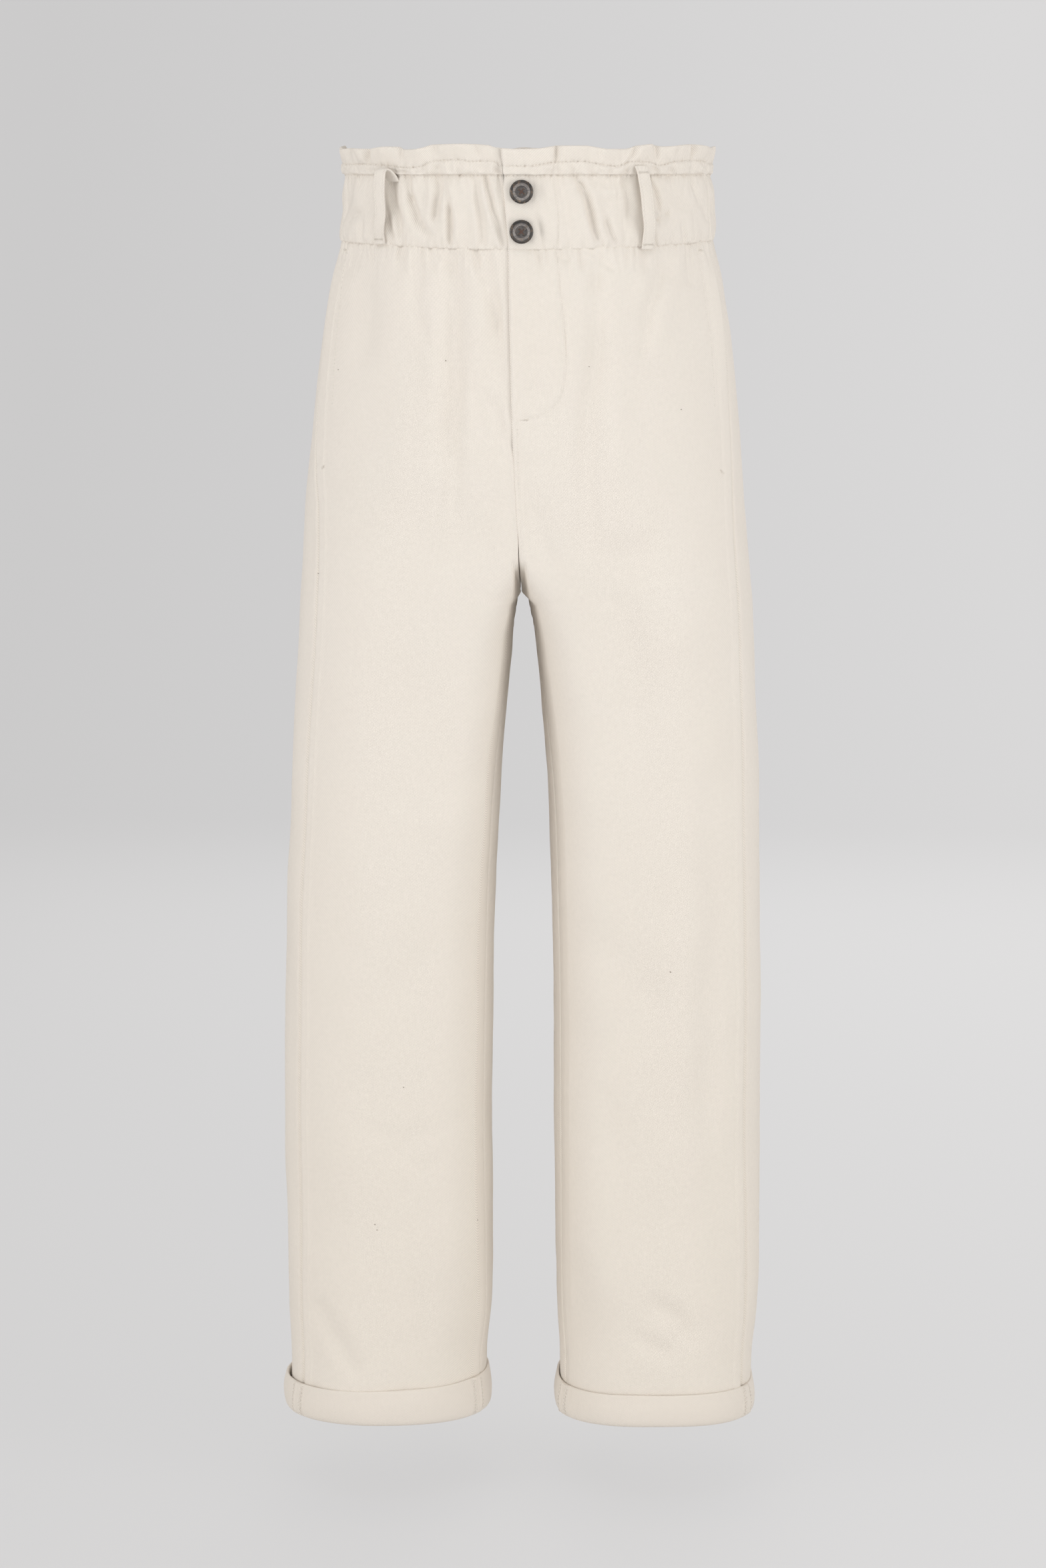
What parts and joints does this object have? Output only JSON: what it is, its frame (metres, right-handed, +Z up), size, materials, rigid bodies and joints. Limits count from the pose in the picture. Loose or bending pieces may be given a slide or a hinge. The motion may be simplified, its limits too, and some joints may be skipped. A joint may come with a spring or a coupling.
{
  "type": "paperbag waist trousers",
  "caption": "High-waisted cotton twill trousers with a gathered paperbag frill, buttoned placket, belt loops, side-seam pockets and turned-up cuffs.",
  "frame": {"origin": "centre of the waist ring at the middle height of the gathered casing, where the trousers are held", "axes": "+Z up from the hems to the waist, the front faces -Y, the wearer's left is +X"},
  "size_m": [0.3867, 0.2269, 1.0187],
  "materials": {
    "ecru_twill": "matt washed cotton twill",
    "ecru_wrong_side": "the twill's smoother wrong side",
    "horn": "grey-brown horn, half polished"
  },
  "bodies": {
    "root": {"front_panel_left": "ecru_twill", "front_panel_right": "ecru_twill", "back_panel_left": "ecru_twill", "back_panel_right": "ecru_twill", "waistband_front_left": "ecru_twill", "waistband_front_right": "ecru_twill", "waistband_back": "ecru_twill", "belt_loop_front_left": "ecru_twill", "belt_loop_front_right": "ecru_twill", "belt_loop_back_left": "ecru_twill", "belt_loop_back_right": "ecru_twill", "belt_loop_back_centre": "ecru_twill", "pocket_facing_left": "ecru_twill", "pocket_facing_right": "ecru_twill", "cuff_left": "ecru_wrong_side", "cuff_right": "ecru_wrong_side", "button_upper": "horn", "button_lower": "horn"}
  },
  "joints": []
}
